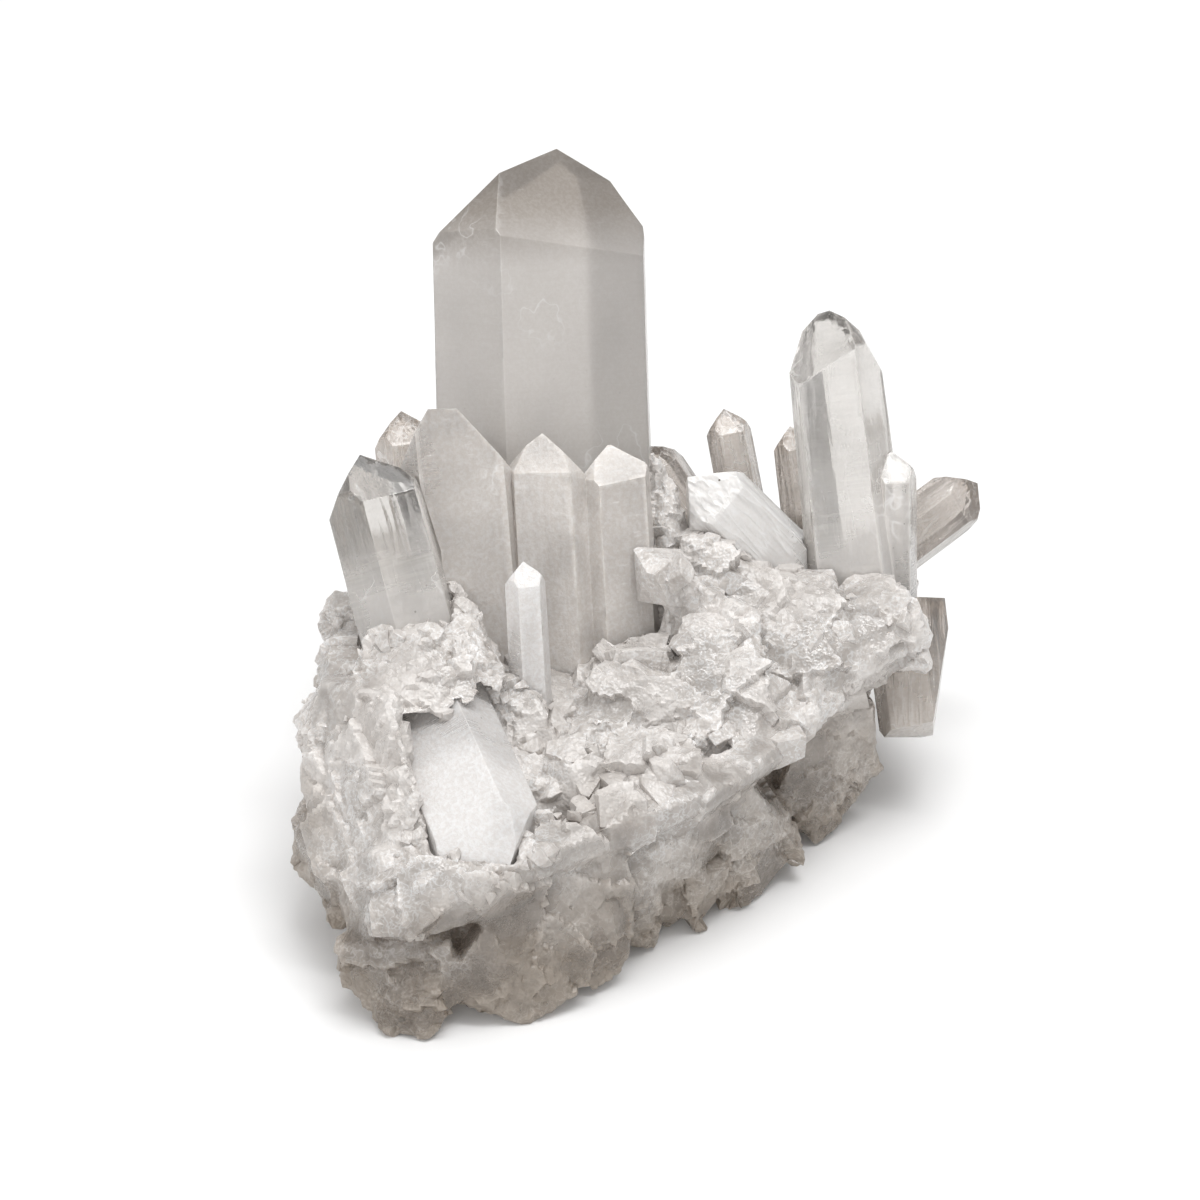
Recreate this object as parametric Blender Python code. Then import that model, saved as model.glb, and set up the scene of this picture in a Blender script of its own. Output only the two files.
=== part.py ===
"""Quartz crystal cluster: clear six-sided points standing in a broken slab of milky quartz.

Run with: blender --background --python part.py
Lengths are in millimetres until a mesh is made, and the scene is in metres, with +Z up.
"""

import math
import random

import bmesh
import bpy
from mathutils import Matrix, Vector

MM = 0.001

# The cluster is drawn as it is seen from in front and 30 degrees above. A drawn place is given in
# millimetres to the right and up from the middle of that leaning drawing, with the depth behind it.
VIEW_ELEVATION = math.radians(30)
EYE_DISTANCE = 450
# Where the middle of the resting side lies, measured from the middle of the drawing.
ORIGIN = Vector((5.5, -13.0, -28.9))

# The pyramid faces of quartz slope 51.8 degrees, so their outward direction rises 38.2 degrees.
FACE_RISE = 38.2
SIDES = 6

SEAT_GAP = 0.3

# Each block that a point is cut from is this many times as large as the point is long.
BLOCK_SHARE = 6
# The prism faces lie this share of the way out to the oval that the point's width and depth span.
OVAL_FIT = 0.93
TAPER = 0.5
# The three small faces at a tip begin this share of the point's width further up than the large ones.
SMALL_FACE_LIFT = 0.22

# A lump is a block with this many breaks, each this share of its size from its middle.
LUMP_BREAKS = 11
LUMP_BLOCK = 1.5
BREAK_DISTANCE = (0.34, 0.52)
BREAK_SHAKE = 0.22
LUMP_TURN = 0.6
LUMP_TILT = 0.5
# Steps of the golden share spread things evenly along a line, and of the golden angle over a ball.
GOLDEN_SHARE = (math.sqrt(5) - 1) / 2
GOLDEN_ANGLE = math.pi * (3 - math.sqrt(5))

QUARTZ_IOR = 1.544
CLEAR_ROUGHNESS = 0.12
MILKY_ROUGHNESS = 0.55
# What each piece looks like as a whole, through its own haze and what stands behind it.
TINTS = {
    "main_crystal": "C4C1BD",
    "right_crystal": "CCCAC8",
    "front_crystals": "C8BEB8",
    "small_front_crystal": "E2DFDC",
    "left_crystal": "BFBDBB",
    "left_back_crystal": "A8A29C",
    "lower_left_crystal": "D6D2CE",
    "middle_crystal": "D9D3D0",
    "back_crystal_left": "B8B2AC",
    "back_crystal_middle": "AAA49F",
    "back_crystal_right": "ABA6A1",
    "right_back_crystal": "BDB5AE",
    "right_low_crystal": "B9B3AD",
    "rear_crystal_left": "C0BBB6",
    "rear_crystal_middle": "C0BBB6",
    "rear_crystal_right": "BEBAB6",
    "matrix": "DAD6D2",
}


def drawn(right, up, depth):
    """The place in the room, in millimetres, of a drawn place."""
    spread = 1 + depth / EYE_DISTANCE
    rise = up * spread
    back = depth * math.cos(VIEW_ELEVATION) + rise * math.sin(VIEW_ELEVATION)
    height = rise * math.cos(VIEW_ELEVATION) - depth * math.sin(VIEW_ELEVATION)
    return Vector((right * spread, back, height)) - ORIGIN


def seen(right, up, height):
    """The place in the room that is drawn at right and up and lies height above the table."""
    level = height + ORIGIN.z
    flat = up * math.cos(VIEW_ELEVATION)
    depth = (flat - level) / (math.sin(VIEW_ELEVATION) - flat / EYE_DISTANCE)
    return drawn(right, up, depth)


def clear_scene():
    for found in list(bpy.data.objects):
        bpy.data.objects.remove(found)


def linear(tint):
    """The light values of a colour written as RRGGBB."""
    values = [int(tint[start:start + 2], 16) / 255 for start in (0, 2, 4)]
    return [value / 12.92 if value <= 0.04045 else ((value + 0.055) / 1.055) ** 2.4 for value in values]


def quartz(name):
    """The material of one piece: its tint, and glassy or matt as the quartz is clear or milky."""
    made = bpy.data.materials.new(f"{name}_quartz")
    made.use_nodes = True
    shader = made.node_tree.nodes["Principled BSDF"]
    shader.inputs["Base Color"].default_value = (*linear(TINTS[name]), 1)
    shader.inputs["Roughness"].default_value = MILKY_ROUGHNESS if name == "matrix" else CLEAR_ROUGHNESS
    shader.inputs["Metallic"].default_value = 0
    shader.inputs["IOR"].default_value = QUARTZ_IOR
    return made


def add_object(name, bm):
    """Turns millimetres into metres and puts the mesh in the scene."""
    bmesh.ops.recalc_face_normals(bm, faces=bm.faces[:])
    bm.transform(Matrix.Scale(MM, 4))
    mesh = bpy.data.meshes.new(name)
    bm.to_mesh(mesh)
    bm.free()
    made = bpy.data.objects.new(name, mesh)
    bpy.context.scene.collection.objects.link(made)
    return made


def add_piece(name, bm):
    """A named piece of the cluster with the material of its own."""
    made = add_object(name, bm)
    made.data.materials.append(quartz(name))
    return made


def add_tool(name, bm):
    """A shape that is cut away from a piece or joined to one, and no piece of its own."""
    made = add_object(name, bm)
    made.hide_render = True
    made.display_type = "WIRE"
    return made


def shave(bm, point, outward):
    """Cuts away what lies beyond a plane and closes the cut with one flat face."""
    everything = bm.verts[:] + bm.edges[:] + bm.faces[:]
    cut = bmesh.ops.bisect_plane(
        bm, geom=everything, plane_co=point, plane_no=outward, clear_outer=True
    )
    rim = [part for part in cut["geom_cut"] if isinstance(part, bmesh.types.BMEdge)]
    if len(rim) > 2:
        bmesh.ops.contextual_create(bm, geom=rim)


def oval_flats(width, depth, turn):
    """Distances from the axis to the six prism faces of a point that is width by depth across."""
    flats = []
    for side in range(SIDES):
        angle = math.radians(turn + 60 * side)
        flats.append(OVAL_FIT * math.hypot(width / 2 * math.sin(angle), depth / 2 * math.cos(angle)))
    return flats


def quartz_point(root, tip, flats, turn, faces, grow=0, taper=TAPER):
    """A closed six-sided prism with a point, cut face by face from a block.

    root and tip are places in the room. flats are the distances from the axis to the prism faces, the
    first turned by turn degrees to the right of the viewer. Each of the faces at the tip is given as
    degrees round, degrees that its outward direction rises, and millimetres above the tip where its
    plane meets the axis.
    """
    along = tip - root
    length = along.length
    along.normalize()
    to_viewer = Vector((0, -math.cos(VIEW_ELEVATION), math.sin(VIEW_ELEVATION)))
    if abs(along.dot(to_viewer)) > 0.9:
        to_viewer = Vector((0, -math.sin(VIEW_ELEVATION), -math.cos(VIEW_ELEVATION)))
    front = (to_viewer - along * along.dot(to_viewer)).normalized()
    side = front.cross(along)

    def outward(degrees, rise):
        round_axis = front * math.cos(math.radians(degrees)) - side * math.sin(math.radians(degrees))
        return round_axis * math.cos(math.radians(rise)) + along * math.sin(math.radians(rise))

    bm = bmesh.new()
    bmesh.ops.create_cube(bm, size=BLOCK_SHARE * length)
    bmesh.ops.translate(bm, verts=bm.verts[:], vec=root)
    shave(bm, root - along * grow, -along)
    for number, flat in enumerate(flats):
        degrees = turn + 60 * number
        shave(bm, root + outward(degrees, 0) * (flat + grow), outward(degrees, taper))
    for degrees, rise, lift in faces:
        normal = outward(degrees, rise)
        shave(bm, root + along * (length + lift) + normal * grow, normal)
    return bm


def simple_point(root, tip, width, depth, turn, grow=0):
    """A point with six pyramid faces, three large ones that meet at the tip and three small ones."""
    small = SMALL_FACE_LIFT * width
    lifts = (0, small, 0.02 * width, 1.3 * small, 0.05 * width, 0.8 * small)
    faces = [(turn + 60 * number, FACE_RISE, lift) for number, lift in enumerate(lifts)]
    return quartz_point(root, tip, oval_flats(width, depth, turn), turn, faces, grow)


def hull(points):
    """The closed shape with flat faces that is stretched over points in the room."""
    bm = bmesh.new()
    for point in points:
        bm.verts.new(point)
    made = bmesh.ops.convex_hull(bm, input=bm.verts[:])
    loose = {part for part in made["geom_interior"] if isinstance(part, bmesh.types.BMVert)}
    bmesh.ops.delete(bm, geom=list(loose), context="VERTS")
    bmesh.ops.dissolve_limit(bm, angle_limit=math.radians(1), verts=bm.verts[:], edges=bm.edges[:])
    return bm


def plate(thickness, corners):
    """A flat piece whose front has its corners at drawn places of known height."""
    front = [seen(*corner) for corner in corners]
    middle = sum(front, Vector()) / len(front)
    back = [place.lerp(middle, 0.25) + Vector((0, thickness, 0)) for place in front]
    bulge = middle + Vector((0, -0.12 * thickness, 0.6))
    return hull(front + back + [bulge])


def ledge(left, right):
    """One length of the ledge, between two pairs of a foot and a brow."""
    places = []
    for foot, brow in (left, right):
        foot = seen(*foot)
        brow = seen(*brow)
        nose = foot.lerp(brow, 0.45) + Vector((0, -1.3, 0.3))
        places += [foot, nose, brow, foot + Vector((0, 4, -1)), brow + Vector((0, 7, 1.5))]
    return hull(places)


def lump(centre, kind, dice):
    """A broken lump of quartz: a block with its corners and edges knocked off by flat breaks."""
    bm = bmesh.new()
    bmesh.ops.create_cube(bm, size=LUMP_BLOCK)
    for number in range(LUMP_BREAKS):
        # the breaks face all ways, spread evenly like seeds on a head and then shaken
        level = 1 - 2 * (number + 0.5) / LUMP_BREAKS
        ring = math.sqrt(1 - level * level)
        angle = number * GOLDEN_ANGLE
        break_face = Vector((ring * math.cos(angle), ring * math.sin(angle), level))
        break_face += Vector([dice.gauss(0, BREAK_SHAKE) for _ in range(3)])
        break_face.normalize()
        shave(bm, break_face * dice.uniform(*BREAK_DISTANCE), break_face)
    size = Vector([dice.uniform(*kind[measure]) for measure in ("width", "depth", "height")])
    bmesh.ops.scale(bm, verts=bm.verts[:], vec=size)
    turned = Matrix.Rotation(dice.uniform(-LUMP_TURN, LUMP_TURN), 3, "Z")
    turned @= Matrix.Rotation(dice.uniform(-LUMP_TILT, LUMP_TILT), 3, "X")
    bmesh.ops.rotate(bm, verts=bm.verts[:], matrix=turned)
    bmesh.ops.translate(bm, verts=bm.verts[:], vec=centre)
    return bm


# The main point: the faces at its tip, worked out from its outline.
MAIN = dict(
    root=drawn(-3.8, -14, 13.4),
    tip=drawn(-5.7, 59.2, 0.6),
    flats=(6.9, 11.65, 8.2, 7.5, 16.45, 13.3),
    turn=25,
    faces=((33, 38.2, -4.9), (-38, 39.3, 5.5), (236, 38.2, 2.2), (153, 38.2, 3.9),
           (122, 38.2, 6.0), (85, 8.5, 62)),
)
RIGHT = dict(
    root=drawn(33.8, -2.0, 8),
    tip=drawn(29.4, 37.6, -1),
    flats=(5.95, 6.1, 6.3, 5.0, 3.93, 7.22),
    turn=-5,
    faces=((-32, 42.6, -1.1), (-125, 38.2, 1.6), (115, 38.2, 0.9), (60, 38.2, 2.2), (175, 50, 0.6),
           (85, 22, 7)),
    taper=1.2,
)
# The step on the right of the right point, where a second one grew along it.
RIGHT_STEP = (drawn(38.0, -3.6, 8), drawn(38.0, 19.2, 2), 6.4, 6.4, 8)
# The front row: three parallel points that grew together.
ROW = (
    dict(root=drawn(-16.4, -13.0, -2), tip=drawn(-19.9, 24.4, -9.6),
         flats=(4.4, 7.4, 6.0, 4.6, 5.8, 6.2), turn=8,
         faces=((-105, 33, 2.6), (105, 37, 1.4), (175, 66, -0.9)), taper=-0.3),
    dict(root=drawn(-5.2, -14.3, -2), tip=drawn(-7.2, 21.3, -8.8), flats=(3.6, 5.2, 4.4, 4.2, 4.4, 5.0),
         turn=-12,
         faces=((-12, 38.2, 0), (48, 38.2, 2), (108, 38.2, 0.2), (168, 38.2, 1), (228, 38.2, 1),
                (290, 38.2, 2))),
    dict(root=drawn(3.4, -13.0, -2), tip=drawn(1.6, 20.3, -8.2), flats=(3.4, 4.6, 3.8, 3.6, 3.6, 4.4),
         turn=16,
         faces=((10, 44, -1.2), (76, 38.2, 2.6), (136, 38.2, 0.5), (196, 38.2, 1), (256, 38.2, 0.8),
                (-44, 38.2, 1.2))),
)
# The stout one under the right end, which broke off square.
RIGHT_LOW = dict(
    root=drawn(38.1, -0.8, 9),
    tip=drawn(40.2, -17.3, 6),
    flats=(3.9, 3.2, 4.9, 3.9, 6.3, 6.0),
    turn=20,
    faces=((0, 84, 0), (-85, 16, 11), (150, 60, 1.5)),
)
# Points of their own: name, root, tip, width, depth, turn.
POINTS = (
    ("left_crystal", drawn(-22.4, -13.0, -12), drawn(-30.9, 18.7, -13), 13, 9.5, 22),
    ("lower_left_crystal", drawn(-23.7, -11.4, -13), drawn(-12.7, -36.1, -38), 15.5, 11, 4),
    ("small_front_crystal", drawn(-8.8, -15.0, -13), drawn(-9.9, 4.9, -19.5), 5.2, 4.8, 12),
    ("middle_crystal", drawn(26.8, 1.0, 8), drawn(11.7, 15.9, -4), 11, 8.5, 8),
    ("left_back_crystal", drawn(-22.6, 0.0, 8), drawn(-25.7, 24.4, 5), 8.6, 7.2, 10),
    ("back_crystal_left", drawn(19.8, 5.2, 19), drawn(16.2, 24.8, 15), 6.2, 5.6, 5),
    ("back_crystal_middle", drawn(14.6, 5.2, 18), drawn(4.9, 20.0, 16), 9, 7, 10),
    ("back_crystal_right", drawn(27.0, 5.2, 18), drawn(24.8, 22.5, 15), 5.6, 5.2, 12),
    ("right_back_crystal", drawn(35.4, 4.9, 13), drawn(49.1, 15.0, 15), 8.6, 8, 15),
    # points on the far side, out of the drawing
    ("rear_crystal_left", Vector((-24, 20, 15)), Vector((-38, 36, 25)), 9, 8, 12),
    ("rear_crystal_middle", Vector((-12, 30, 14)), Vector((-18, 51, 29)), 10, 8.5, 20),
    ("rear_crystal_right", Vector((12, 32, 12)), Vector((15, 52, 22)), 8, 7.5, 4),
)
# Short points that are one with the slab: root, tip, width, depth, turn.
STUBS = (
    # the tiny point and the bright facets beside it
    (drawn(8.8, -5.2, -6), drawn(9.4, 4.8, -12), 3.2, 3.0, 20),
    (drawn(15.0, -6.5, -4), drawn(11.7, 2.6, -9), 7.0, 5, -15),
    # the stout points that close the left side
    (drawn(-29.6, -26.0, -12), drawn(-33.3, -3.6, -10), 9, 9, 10),
    (drawn(-26.0, -14.3, -6), drawn(-34.8, 1.3, -2), 8.5, 9, 8),
)
# Where the slab's upper layer has its lip and its top, and where the lower one meets the table.
LIP = ((-29.6, -42.6, 12), (-25.7, -44.7, 12), (-15.1, -41.2, 14), (-5.9, -36.4, 16),
       (3.9, -32.5, 16.5), (18.9, -21.8, 19), (32.5, -13.3, 20), (40.8, -7.3, 21))
TOP = ((-35.1, -20.8, 20), (-26.0, -32.5, 20), (-16.9, -26.0, 22), (-13.0, -13.7, 24), (5.2, -13.0, 24),
       (18.2, -6.5, 26), (32.5, -3.2, 27), (39.8, -2.9, 26))
TABLE_EDGE = ((-30.7, -51.5, 0), (-24.7, -55.9, 0), (-13.0, -53.0, 0), (-5.2, -50.1, 0),
              (4.7, -43.9, 0), (13.0, -40.0, 0), (22.1, -34.1, 0), (29.9, -26.0, 0), (34.8, -20.3, 0),
              (-35.6, -41.0, 0))
# Flat broken pieces, each a thickness and the corners of its front: the lumps in front of the row and
# at the right, the steps of the left side, the feet under the lip, and the blades that hang at the
# right with their tips on the table.
PLATES = (
    (8, (-1.0, -9.4, 28.5), (1.6, -7.3, 29.5), (6.2, -7.0, 29.5), (9.9, -8.8, 29), (10.5, -13.0, 26.5),
     (8.6, -17.4, 22.5), (3.6, -19.0, 22), (-0.5, -16.6, 22.5), (-1.8, -12.2, 26)),
    (7, (-13.4, -10.4, 28.5), (-10.9, -9.8, 29), (-6.2, -15.3, 26), (-5.7, -19.5, 22.5),
     (-8.5, -22.1, 21.5), (-12.5, -18.5, 22), (-15.1, -14.0, 26)),
    (6, (-6.5, -18.7, 25), (-0.8, -17.9, 25.5), (0.3, -24.2, 22), (-2.0, -28.3, 20.5),
     (-4.9, -25.7, 21), (-7.0, -21.8, 23)),
    (6, (0.5, -19.2, 25), (8.8, -18.2, 26), (13.5, -19.8, 25.5), (13.0, -25.0, 21.5), (6.5, -26.3, 21),
     (1.3, -26.0, 21.5)),
    (10, (11.7, -1.6, 32.5), (15.9, 0.0, 33.5), (20.4, -2.9, 32.5), (22.4, -8.8, 29),
     (22.4, -15.9, 23.5), (19.8, -19.2, 22.5), (13.0, -18.7, 22.5), (10.4, -13.0, 26.5),
     (9.9, -6.5, 30.5)),
    (9, (21.3, 0.5, 32.5), (26.0, 1.3, 33.5), (31.5, 0.0, 32.5), (33.0, -5.2, 29), (31.5, -11.4, 24),
     (26.0, -14.0, 23.5), (22.6, -9.9, 26), (21.1, -3.9, 30)),
    (8, (31.5, -0.5, 31.5), (36.4, 0.5, 32.5), (41.1, -0.8, 31.5), (42.4, -4.4, 28), (40.6, -7.0, 25),
     (36.1, -10.1, 24), (32.5, -11.7, 24), (31.2, -6.5, 28)),
    (6, (-20.0, -1.8, 36), (-17.9, -0.8, 36), (-12.1, -10.7, 30), (-13.0, -12.5, 29),
     (-16.4, -10.9, 31)),
    (9, (-32.5, -8.8, 32), (-29.6, -5.2, 34.5), (-22.1, -3.9, 36), (-16.6, -7.3, 34),
     (-15.3, -13.0, 30.5), (-20.8, -15.3, 29.5), (-26.5, -15.1, 29.5), (-30.9, -13.3, 30)),
    (5, (6.5, 19.5, 46.5), (8.8, 15.3, 43), (10.9, 10.1, 38.5), (12.2, 3.6, 33), (10.9, -5.2, 25.5),
     (6.5, -5.2, 25.5)),
    (8, (10.9, 7.8, 37.5), (15.1, 7.8, 37.5), (19.8, 4.4, 35), (25.0, 1.3, 32.5), (24.7, -2.9, 29.5),
     (13.0, -2.9, 30), (10.4, 0.3, 32)),
    (9, (-36.0, -10.7, 30), (-27.0, -13.0, 33), (-23.8, -26.0, 26), (-21.8, -32.0, 20),
     (-28.1, -39.6, 15), (-33.1, -34.8, 16), (-35.6, -17.9, 24)),
    (9, (-39.9, -16.9, 24), (-36.1, -10.5, 30), (-34.2, -13.0, 30), (-33.1, -35.4, 15),
     (-37.2, -36.4, 13), (-39.1, -26.0, 18)),
    (8, (-40.6, -30.2, 13), (-38.6, -27.6, 15), (-34.8, -36.4, 14), (-36.1, -39.6, 7),
     (-39.9, -34.8, 9)),
    (8, (-35.6, -34.1, 14), (-30.4, -32.8, 17), (-29.4, -43.6, 12), (-31.7, -45.5, 8),
     (-35.1, -40.0, 7)),
    (13, (-33.8, -45.0, 9), (-29.1, -45.2, 10.5), (-19.2, -44.7, 11.5), (-18.7, -53.0, 3),
     (-22.4, -57.6, 0), (-27.4, -56.8, 0), (-33.4, -50.4, 3)),
    (13, (-19.5, -48.9, 7), (-15.1, -42.6, 13.5), (-7.2, -38.0, 15.5), (-1.0, -35.6, 16),
     (-1.2, -50.2, 3), (-8.6, -54.3, 0), (-11.2, -55.5, 0), (-18.3, -53.3, 2)),
    (11, (-2.2, -36.7, 15.5), (0.8, -34.8, 16.5), (3.6, -33.8, 16.5), (4.0, -46.1, 4), (2.3, -48.6, 2),
     (-1.3, -50.7, 1)),
    (10, (1.7, -34.8, 16), (6.9, -32.0, 17), (8.1, -44.5, 1), (6.8, -45.9, 0), (3.6, -45.5, 1)),
    (8, (6.5, -33.3, 16), (8.8, -31.2, 17), (10.5, -41.2, 2), (8.7, -42.9, 0), (7.4, -41.9, 1)),
    (10, (8.8, -31.2, 16.5), (15.1, -27.6, 17), (17.4, -36.9, 4), (13.0, -43.2, 0), (10.8, -41.1, 1)),
    (10, (15.1, -27.8, 16), (19.5, -24.1, 18), (25.6, -30.2, 6), (25.1, -34.1, 3), (20.7, -38.9, 0),
     (18.3, -40.6, 0), (15.9, -39.3, 1)),
    (9, (23.4, -24.2, 10), (26.8, -16.6, 18), (30.4, -13.3, 20), (36.1, -13.7, 18), (36.3, -22.4, 7),
     (31.5, -28.6, 1), (28.2, -32.1, 0), (25.5, -29.8, 2)),
)
# The ledge: where its foot and its brow are drawn and how high they lie, from left to right.
LEDGE = (
    ((-30.2, -43.9, 12), (-30.9, -36.9, 17)),
    ((-25.5, -44.9, 12), (-24.4, -34.1, 21)),
    ((-15.1, -41.7, 14), (-15.1, -35.4, 21)),
    ((-6.2, -36.8, 16), (-5.7, -32.8, 21)),
    ((0.5, -34.3, 16), (2.3, -28.9, 22)),
    ((8.8, -30.4, 17), (11.7, -26.0, 22)),
    ((17.9, -25.7, 18), (18.5, -23.1, 22)),
    ((25.0, -19.8, 19), (26.0, -16.1, 23)),
    ((32.8, -13.3, 20), (33.5, -10.4, 24)),
    ((37.4, -10.9, 21), (37.7, -8.3, 25)),
)
# The far side of the slab, from left to right, at table level.
REAR = ((-36, -12), (-37, 6), (-32, 24), (-18, 38), (8, 43), (26, 40), (33, 29))
# Rises that carry the points: one behind the row, one under the left points, one at the right.
MOUNDS = (
    ((-26, 14, 33), (-8, 24, 32), (14, 24, 31), (26, 30, 29), (-30, 26, 18), (0, 38, 20), (30, 34, 18),
     (-10, 14, 18), (20, 10, 20), (24, 14, 28), (8, 12, 28), (-12, 36, 28), (12, 36, 27)),
    ((-36, -10, 24), (-34, 4, 36), (-24, 6, 37), (-22, -6, 30), (-20, -20, 22), (-36, -20, 16),
     (-38, 4, 14), (-30, 18, 34), (-22, 16, 34), (-18, 8, 14)),
    ((20, 8, 24), (32, 8, 25), (36, 20, 26), (34, 32, 25), (22, 32, 28), (30, 24, 31), (22, 16, 30),
     (26, 10, 12), (37, 24, 14)),
)
# The widest of the flat breaks that the cluster rests on, with what it hangs from.
RESTING_BLOCK = ((-12, -8, 0), (-9, 5, 0), (4, 9, 0), (10, 1, 0), (7, -9, 0), (-4, -13, 0),
                 (-15, -11, 6), (-12, 9, 6), (5, 13, 6), (14, 1, 6), (9, -13, 6), (-5, -17, 6))
# The kinds of broken lump: how many, and the least and the largest of each measure.
SLAB_LUMPS = dict(count=34, width=(6, 11), depth=(6, 10), height=(5, 8))
REAR_LUMPS = dict(count=34, width=(7, 13), depth=(6, 10), height=(6, 11))
LOW_LUMPS = dict(count=14, width=(9, 15), depth=(9, 14), height=(8, 8))
LUMP_SEED = 11


def main():
    clear_scene()
    dice = random.Random(LUMP_SEED)
    crystals = [("main_crystal", [MAIN]), ("right_crystal", [RIGHT, RIGHT_STEP])]
    crystals += [(point[0], [point[1:]]) for point in POINTS[:2]]
    crystals += [("front_crystals", list(ROW))]
    crystals += [(point[0], [point[1:]]) for point in POINTS[2:]]
    crystals += [("right_low_crystal", [RIGHT_LOW])]
    nodes = []
    for name, group in crystals:
        shapes = [shape(spec) for spec in group]
        node = add_piece(name, shapes[0])
        for number, extra in enumerate(shapes[1:]):
            join(node, add_tool(f"{name}_part_{number}", extra), "UNION")
        seats = [shape(spec, SEAT_GAP) for spec in group]
        seats = [add_tool(f"{name}_seat_{number}", seat) for number, seat in enumerate(seats)]
        for other, other_seats in nodes:
            for seat in other_seats:
                if boxes_meet(node, seat):
                    join(node, seat, "DIFFERENCE")
        nodes.append((node, seats))

    node = slab(dice)
    join_all(node, [seat for _, seats in nodes for seat in seats], "DIFFERENCE")
    keep_largest_body(node)


def shape(spec, grow=0):
    """One point, larger by grow all round when it is to cut a seat."""
    if isinstance(spec, dict):
        return quartz_point(**spec, grow=grow)
    return simple_point(*spec, grow=grow)


def boxes_meet(first, second):
    """Whether the boxes round two shapes overlap, so that one may touch the other."""
    def span(made):
        low = [min(vertex.co[axis] for vertex in made.data.vertices) for axis in range(3)]
        high = [max(vertex.co[axis] for vertex in made.data.vertices) for axis in range(3)]
        return low, high

    low_a, high_a = span(first)
    low_b, high_b = span(second)
    return all(low_a[axis] < high_b[axis] and low_b[axis] < high_a[axis] for axis in range(3))


def slab(dice):
    """The matrix: broken layers with a ledge, stubs and feet, all joined in one solid."""
    node = add_piece("matrix", upper_layer())
    shapes = [lower_layer(), hull(places(RESTING_BLOCK))]
    shapes += [hull(places(mound)) for mound in MOUNDS]
    shapes += [simple_point(*stub) for stub in STUBS]
    shapes += [plate(thickness, corners) for thickness, *corners in PLATES]
    shapes += [ledge(left, right) for left, right in zip(LEDGE, LEDGE[1:])]
    shapes += lumps_on_slab(dice) + lumps_behind(dice) + lumps_below(dice)
    tools = [add_tool(f"matrix_part_{number}", made) for number, made in enumerate(shapes)]
    join_all(node, tools, "UNION")
    join(node, add_tool("table_cut", below_table()), "DIFFERENCE")
    return node


def places(line):
    return [Vector(place) for place in line]


def upper_layer():
    """The slab down to its lip, with its far side a little wider at the bottom than at the top."""
    front = [seen(*place) for place in LIP + TOP]
    rear = [Vector((x * 1.02, y * 1.02, 12)) for x, y in REAR]
    rear_top = [Vector((x * 0.93, y * 0.93, 25)) for x, y in REAR[1:]]
    return hull(front + rear + rear_top)


def lower_layer():
    """The part that stands back under the lip and reaches down almost to the table."""
    front = [seen(*place) for place in TABLE_EDGE]
    low = [place + Vector((0, 5, 1)) for place in front] + [place + Vector((0, 4, 13)) for place in front]
    rear = [Vector((x * 0.88, y * 0.9, height)) for x, y in REAR for height in (1, 15)]
    return hull(low + rear)


def below_table():
    """A large block whose top is the level that the cluster rests on."""
    bm = bmesh.new()
    bmesh.ops.create_cube(bm, size=300)
    bmesh.ops.translate(bm, verts=bm.verts[:], vec=Vector((0, 0, -150)))
    return bm


def lumps_on_slab(dice):
    """Lumps between the lip and the top, all along but for the left end."""
    lip = [seen(*place) for place in LIP]
    top = [seen(*place) for place in TOP]
    made = []
    for number in range(SLAB_LUMPS["count"]):
        share = 0.12 + 0.88 * (number * GOLDEN_SHARE % 1)
        spot = between(lip, share).lerp(between(top, share), dice.uniform(0.35, 1))
        made.append(lump(spot, SLAB_LUMPS, dice))
    return made


def lumps_behind(dice):
    """Lumps on the far side of the slab, from near the table to its upper edge."""
    far_side = [Vector((x, y, 0)) for x, y in REAR]
    made = []
    for number in range(REAR_LUMPS["count"]):
        spot = between(far_side, number * GOLDEN_SHARE % 1) * dice.uniform(0.86, 0.98)
        spot.z = 5 + 20 * (number * math.sqrt(2) % 1)
        made.append(lump(spot, REAR_LUMPS, dice))
    return made


def lumps_below(dice):
    """Lumps under the slab, which the table level cuts flat."""
    far_side = [Vector((x, y, 0)) for x, y in REAR]
    made = []
    for number in range(LOW_LUMPS["count"]):
        spot = between(far_side, number * GOLDEN_SHARE % 1) * (0.15 + 0.6 * (number * 0.3 % 1))
        spot.z = 2
        made.append(lump(spot, LOW_LUMPS, dice))
    return made


def between(line, share):
    """The place at a share of the way along a line of places."""
    at = share * (len(line) - 1)
    start = min(int(at), len(line) - 2)
    return line[start].lerp(line[start + 1], at - start)


def keep_largest_body(node):
    """Fills the closed pockets between the lumps and drops crumbs that hang on nothing."""
    bm = bmesh.new()
    bm.from_object(node, bpy.context.evaluated_depsgraph_get())
    waiting = set(bm.verts)
    bodies = []
    while waiting:
        body = set()
        edge_of_body = [waiting.pop()]
        while edge_of_body:
            vertex = edge_of_body.pop()
            body.add(vertex)
            for edge in vertex.link_edges:
                other = edge.other_vert(vertex)
                if other in waiting:
                    waiting.remove(other)
                    edge_of_body.append(other)
        bodies.append(body)
    bodies.sort(key=len)
    bmesh.ops.delete(bm, geom=[vertex for body in bodies[:-1] for vertex in body], context="VERTS")
    node.modifiers.clear()
    bm.to_mesh(node.data)
    bm.free()


def join_all(target, tools, operation):
    """Joins to the target, or cuts from it, every shape of a list in one go."""
    group = bpy.data.collections.new(f"{target.name} {operation.lower()}")
    bpy.context.scene.collection.children.link(group)
    for tool in tools:
        group.objects.link(tool)
    modifier = target.modifiers.new(group.name, "BOOLEAN")
    modifier.operation = operation
    modifier.solver = "EXACT"
    modifier.operand_type = "COLLECTION"
    modifier.collection = group


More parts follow.
